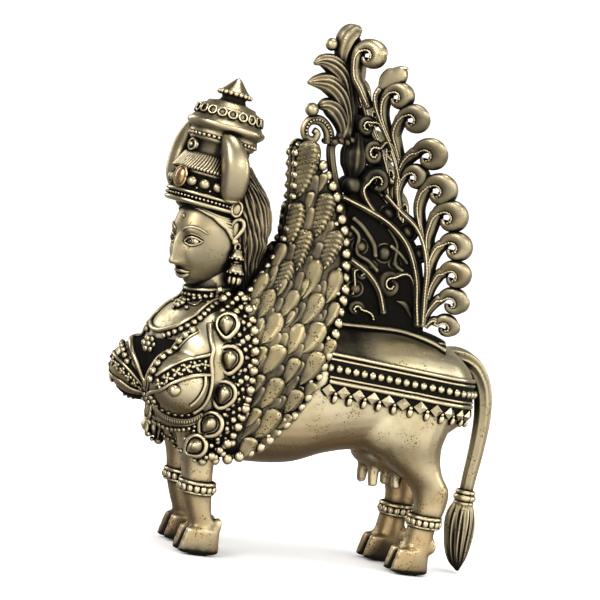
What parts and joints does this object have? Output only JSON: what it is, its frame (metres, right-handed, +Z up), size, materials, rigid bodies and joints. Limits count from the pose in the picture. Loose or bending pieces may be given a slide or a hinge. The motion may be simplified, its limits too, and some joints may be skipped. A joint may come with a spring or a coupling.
{
  "type": "kamadhenu cow statue",
  "caption": "Cast brass statue of a winged cow with a crowned woman's bust, its pierced peacock-tail plume fixed upright on the back.",
  "frame": {"origin": "middle of the figure's footprint, on the plane of the hoof soles", "axes": "+Z up, the cow faces -Y, its left side is +X"},
  "size_m": [0.063, 0.1708, 0.215],
  "materials": {
    "figure_brass": "cast, blackened in the recesses and rubbed bright on the raised parts",
    "plume_brass": "cast, mostly blackened, with bright rubbed edges and beads"
  },
  "bodies": {
    "root": {"cow_figure": "figure_brass", "tail_plume": "plume_brass"}
  },
  "joints": []
}
